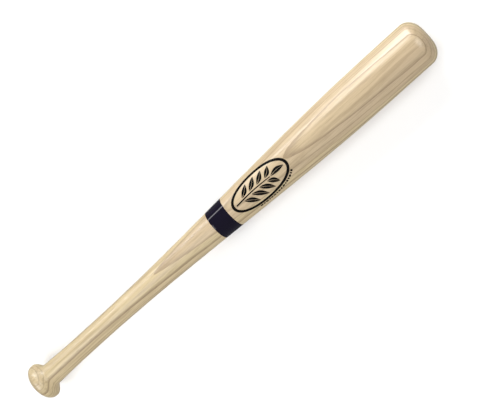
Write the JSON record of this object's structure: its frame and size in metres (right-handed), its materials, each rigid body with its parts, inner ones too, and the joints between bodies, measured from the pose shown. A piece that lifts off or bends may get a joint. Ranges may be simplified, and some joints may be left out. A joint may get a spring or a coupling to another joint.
{
  "type": "baseball bat",
  "caption": "Turned wooden baseball bat of child's size: rounded knob, slim handle, long taper to a full barrel with a rounded end, painted throat ring, stamped oval emblem.",
  "frame": {"origin": "centre of the knob's flat end face, on the bat's axis", "axes": "+X runs along the bat's axis from the knob to the barrel, +Z passes out through the middle of the stamped emblem, +Y completes a right-handed frame"},
  "size_m": [0.635, 0.0572, 0.0572],
  "materials": {
    "ash": "pale flat-sawn ash under clear lacquer",
    "navy_paint": "very dark navy paint under the same clear lacquer",
    "black_foil": "black hot-stamped foil, softly glossy, slightly worn"
  },
  "bodies": {
    "root": {"ash_billet": "ash", "throat_band": "navy_paint", "emblem_outline": "black_foil", "sprig_stem": "black_foil", "sprig_leaf_right_1": "black_foil", "sprig_leaf_left_1": "black_foil", "sprig_leaf_right_2": "black_foil", "sprig_leaf_left_2": "black_foil", "sprig_leaf_right_3": "black_foil", "sprig_leaf_left_3": "black_foil", "sprig_leaf_right_4": "black_foil", "sprig_leaf_left_4": "black_foil", "sprig_leaf_end": "black_foil", "caption_dash_01": "black_foil", "caption_dash_02": "black_foil", "caption_dash_03": "black_foil", "caption_dash_04": "black_foil", "caption_dash_05": "black_foil", "caption_dash_06": "black_foil", "caption_dash_07": "black_foil", "caption_dash_08": "black_foil", "caption_dash_09": "black_foil", "caption_dash_10": "black_foil", "caption_dash_11": "black_foil", "caption_dash_12": "black_foil", "caption_dash_13": "black_foil", "caption_dash_14": "black_foil", "caption_dash_15": "black_foil", "caption_dash_16": "black_foil"}
  },
  "joints": []
}
